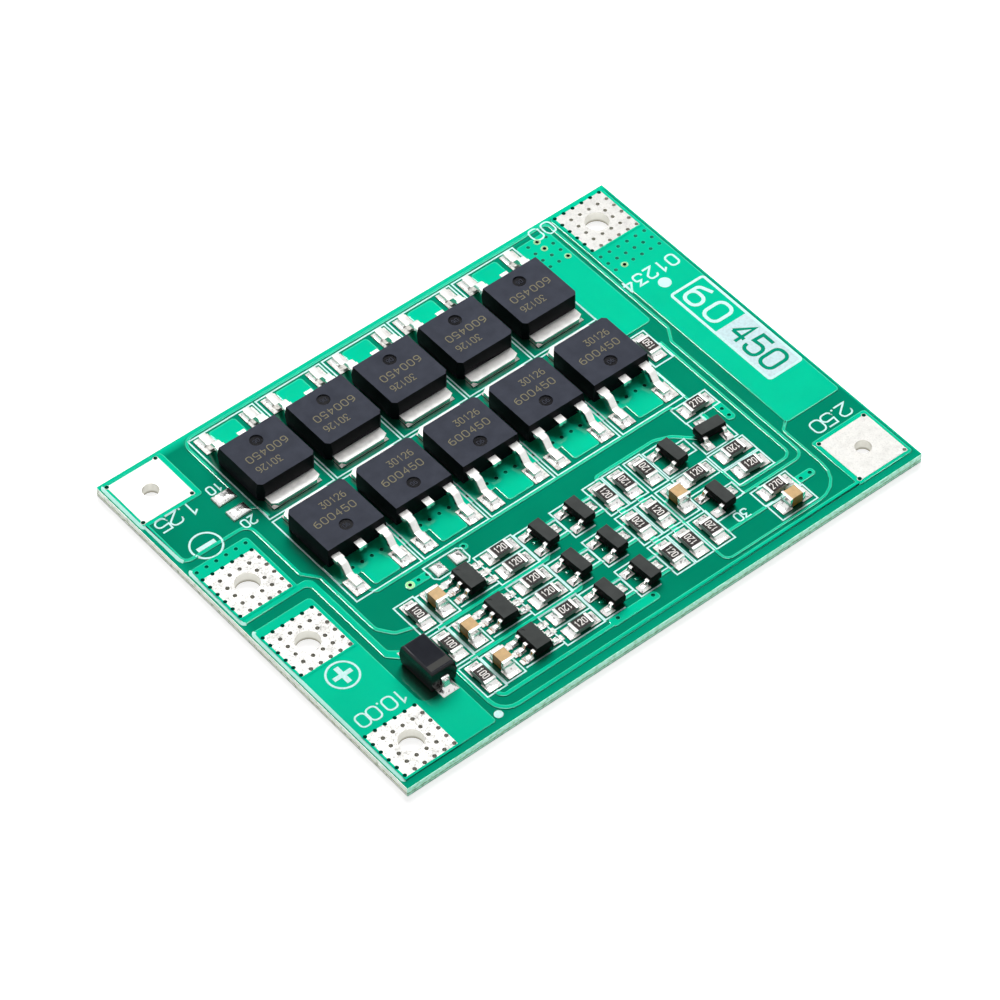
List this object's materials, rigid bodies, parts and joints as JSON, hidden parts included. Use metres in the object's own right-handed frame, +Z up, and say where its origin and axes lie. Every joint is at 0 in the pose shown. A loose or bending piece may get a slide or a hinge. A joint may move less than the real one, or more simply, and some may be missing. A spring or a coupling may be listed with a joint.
{
  "type": "battery_management_board",
  "caption": "Flat green battery protection board with two rows of black power transistors, small chip parts beside them, and square tinned plates with wire holes along both short edges.",
  "frame": {"origin": "middle of the board's underside", "axes": "X along the long edge towards the 0V and 8.4V plates, Y along the short edge towards the row of transistors nearest the edge, Z up out of the populated face"},
  "size_m": [0.06, 0.045, 0.0036],
  "materials": {
    "green_mask_laminate": "glass-epoxy laminate under a glossy green solder mask",
    "masked_copper": "copper under the same glossy green mask, so it reads lighter",
    "bare_copper": "thin plated copper wall of a via",
    "tinned_plating": "hot-air levelled tin, bright and slightly uneven",
    "solder": "reflowed solder, bright with soft waves",
    "tinned_leads": "matte tin over a stamped metal lead or a chip's end cap",
    "mosfet_epoxy": "moulded epoxy with a fine spark-eroded texture",
    "small_part_epoxy": "moulded epoxy, fine matte",
    "diode_epoxy": "moulded epoxy, smoother than the transistors",
    "alumina_ceramic": "fired white alumina of a chip resistor",
    "legend_ink": "screen-printed white legend ink on the mask",
    "laser_mark": "laser marking in moulded epoxy, duller and more olive than the body",
    "resistor_glaze": "dark overglaze on an alumina chip",
    "capacitor_ceramic": "sintered tan ceramic, fine and slightly satin"
  },
  "bodies": {
    "root": {"board": "green_mask_laminate", "terminal_0v": "tinned_plating", "terminal_4v2": "tinned_plating", "terminal_8v4": "tinned_plating", "terminal_12v6": "tinned_plating", "terminal_minus": "tinned_plating", "terminal_plus": "tinned_plating", "copper_pattern": "masked_copper", "via_linings": "bare_copper", "component_pads": "tinned_plating", "solder_joints": "solder", "mosfet_1_body": "mosfet_epoxy", "mosfet_2_body": "mosfet_epoxy", "mosfet_3_body": "mosfet_epoxy", "mosfet_4_body": "mosfet_epoxy", "mosfet_5_body": "mosfet_epoxy", "mosfet_6_body": "mosfet_epoxy", "mosfet_7_body": "mosfet_epoxy", "mosfet_8_body": "mosfet_epoxy", "mosfet_9_body": "mosfet_epoxy", "mosfet_10_body": "mosfet_epoxy", "mosfet_1_leads": "tinned_leads", "mosfet_2_leads": "tinned_leads", "mosfet_3_leads": "tinned_leads", "mosfet_4_leads": "tinned_leads", "mosfet_5_leads": "tinned_leads", "mosfet_6_leads": "tinned_leads", "mosfet_7_leads": "tinned_leads", "mosfet_8_leads": "tinned_leads", "mosfet_9_leads": "tinned_leads", "mosfet_10_leads": "tinned_leads", "balance_chip_1_body": "small_part_epoxy", "balance_chip_2_body": "small_part_epoxy", "balance_chip_3_body": "small_part_epoxy", "balance_chip_1_leads": "tinned_leads", "balance_chip_2_leads": "tinned_leads", "balance_chip_3_leads": "tinned_leads", "transistor_1_body": "small_part_epoxy", "transistor_2_body": "small_part_epoxy", "transistor_3_body": "small_part_epoxy", "transistor_4_body": "small_part_epoxy", "transistor_5_body": "small_part_epoxy", "transistor_6_body": "small_part_epoxy", "transistor_7_body": "small_part_epoxy", "transistor_8_body": "small_part_epoxy", "transistor_9_body": "small_part_epoxy", "transistor_leads": "tinned_leads", "diode_body": "diode_epoxy", "diode_leads": "tinned_leads", "resistors_101": "alumina_ceramic", "resistors_105": "alumina_ceramic", "resistors_333": "alumina_ceramic", "resistor_104": "alumina_ceramic", "resistor_ends": "tinned_leads", "balance_capacitors": "capacitor_ceramic", "filter_capacitors": "capacitor_ceramic", "capacitor_ends": "tinned_leads"}
  },
  "joints": []
}
